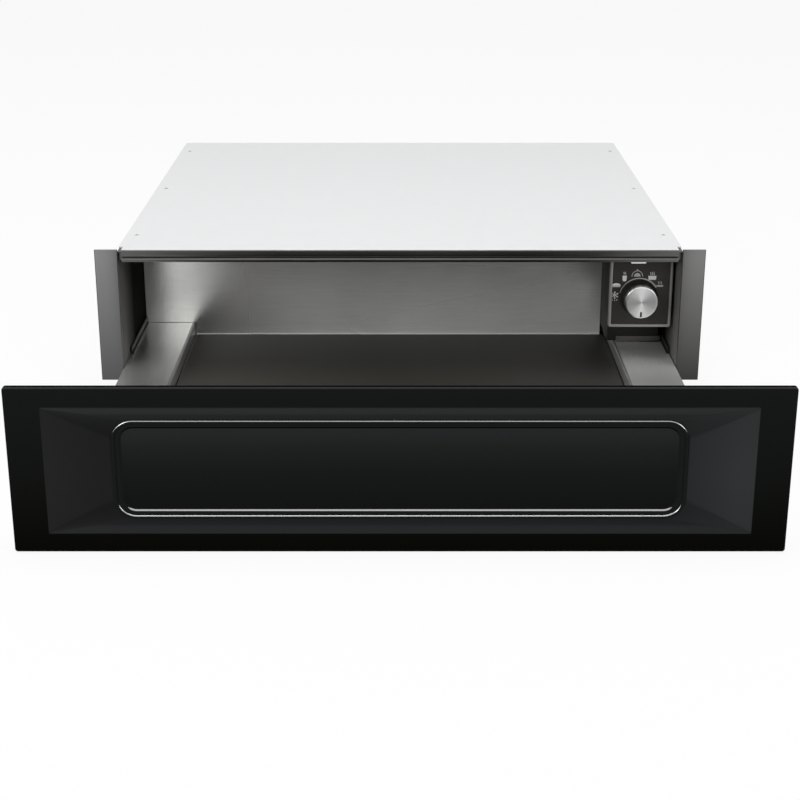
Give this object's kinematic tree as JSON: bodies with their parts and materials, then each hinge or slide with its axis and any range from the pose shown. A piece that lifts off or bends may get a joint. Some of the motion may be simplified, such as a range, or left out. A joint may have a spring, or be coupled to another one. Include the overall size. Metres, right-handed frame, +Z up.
{
  "type": "built-in warming drawer",
  "caption": "Niche-built warming drawer, open: steel housing with thermostat knob, ball-bearing slides, heated pan with mat, pressed black front panel.",
  "frame": {"origin": "middle of the underside of the housing's base, where it rests on the niche floor", "axes": "+X right seen from the front, +Y into the cabinet, +Z up; the drawer stands open towards -Y"},
  "size_m": [0.597, 0.925, 0.1415],
  "materials": {
    "enamel": "glossy black vitreous enamel",
    "housing_paint": "dark grey satin paint",
    "brushed_steel": "satin brushed",
    "galvanised_sheet": "galvanised",
    "slide_steel": "zinc plated",
    "black_paint": "matt black",
    "black_plastic": "moulded black",
    "fascia": "dark charcoal satin",
    "bezel": "satin",
    "lamp_lens": "white diffusing",
    "mat_rubber": "fine textured, brown black",
    "bumper_rubber": "soft black",
    "heater_jacket": "silicone jacket",
    "aluminium_sheet": "mill finish",
    "knob_aluminium": "turned, radial sheen",
    "brass": "satin"
  },
  "bodies": {
    "housing": {"base_pan": "galvanised_sheet", "side_panel_right": "housing_paint", "side_panel_left": "housing_paint", "rear_panel": "galvanised_sheet", "top_cover": "galvanised_sheet", "front_rail": "housing_paint", "trim_column_right": "housing_paint", "trim_column_left": "housing_paint", "heat_reflector": "aluminium_sheet", "heating_element": "heater_jacket", "thermal_cutout": "black_plastic", "connection_box": "galvanised_sheet", "terminal_block": "black_plastic", "cable_inlet": "black_plastic", "wiring_duct": "black_plastic", "control_housing": "black_plastic", "control_bezel": "bezel", "control_fascia": "fascia", "pilot_lamp_lens": "lamp_lens", "thermostat": "galvanised_sheet", "latch_housing": "black_plastic", "slide_outer_right": "slide_steel", "slide_outer_left": "slide_steel"},
    "drawer": {"front_panel": "enamel", "inner_front": "housing_paint", "closing_bumper_right": "bumper_rubber", "closing_bumper_left": "bumper_rubber", "front_bracket_right": "galvanised_sheet", "front_bracket_left": "galvanised_sheet", "drawer_pan": "brushed_steel", "nonslip_mat": "mat_rubber", "back_wall": "brushed_steel", "corner_guard": "black_paint", "side_guard_right": "black_plastic", "side_guard_left": "black_plastic", "runner_bracket_right": "galvanised_sheet", "runner_bracket_left": "galvanised_sheet", "latch_striker": "galvanised_sheet", "slide_inner_right": "slide_steel", "slide_inner_left": "slide_steel"},
    "slide_middle_right": {"slide_middle_right": "slide_steel"},
    "slide_middle_left": {"slide_middle_left": "slide_steel"},
    "ball_cage_outer_right": {"ball_cage_outer_right": "brass"},
    "ball_cage_outer_left": {"ball_cage_outer_left": "brass"},
    "ball_cage_inner_right": {"ball_cage_inner_right": "brass"},
    "ball_cage_inner_left": {"ball_cage_inner_left": "brass"},
    "knob": {"knob_cap": "knob_aluminium", "knob_body": "black_plastic", "knob_spindle": "brass"},
    "latch_plunger": {"latch_plunger": "black_plastic"}
  },
  "joints": [
    {"name": "drawer_slide", "type": "slide", "parent": "housing", "child": "drawer", "axis": [0, 1, 0], "range_m": [0, 0.353]},
    {"name": "slide_middle_right_travel", "type": "slide", "parent": "housing", "child": "slide_middle_right", "axis": [0, 1, 0], "range_m": [0, 0.1765]},
    {"name": "slide_middle_left_travel", "type": "slide", "parent": "housing", "child": "slide_middle_left", "axis": [0, 1, 0], "range_m": [0, 0.1765]},
    {"name": "ball_cage_outer_right_travel", "type": "slide", "parent": "housing", "child": "ball_cage_outer_right", "axis": [0, 1, 0], "range_m": [0, 0.08825]},
    {"name": "ball_cage_outer_left_travel", "type": "slide", "parent": "housing", "child": "ball_cage_outer_left", "axis": [0, 1, 0], "range_m": [0, 0.08825]},
    {"name": "ball_cage_inner_right_travel", "type": "slide", "parent": "housing", "child": "ball_cage_inner_right", "axis": [0, 1, 0], "range_m": [0, 0.26475]},
    {"name": "ball_cage_inner_left_travel", "type": "slide", "parent": "housing", "child": "ball_cage_inner_left", "axis": [0, 1, 0], "range_m": [0, 0.26475]},
    {"name": "knob_turn", "type": "hinge", "parent": "housing", "child": "knob", "pos_m": [0.24, -0.252, 0.084], "axis": [0, 1, 0], "range_deg": [0, 245]},
    {"name": "latch_press", "type": "slide", "parent": "housing", "child": "latch_plunger", "axis": [0, 1, 0], "range_m": [0, 0.0035], "stiffness_N_per_m": 800, "springref_m": -0.004}
  ],
  "couplings": [
    {"joint": "slide_middle_right_travel", "follows": "drawer_slide", "ratio": 0.5},
    {"joint": "slide_middle_left_travel", "follows": "drawer_slide", "ratio": 0.5},
    {"joint": "ball_cage_outer_right_travel", "follows": "drawer_slide", "ratio": 0.25},
    {"joint": "ball_cage_outer_left_travel", "follows": "drawer_slide", "ratio": 0.25},
    {"joint": "ball_cage_inner_right_travel", "follows": "drawer_slide", "ratio": 0.75},
    {"joint": "ball_cage_inner_left_travel", "follows": "drawer_slide", "ratio": 0.75}
  ]
}
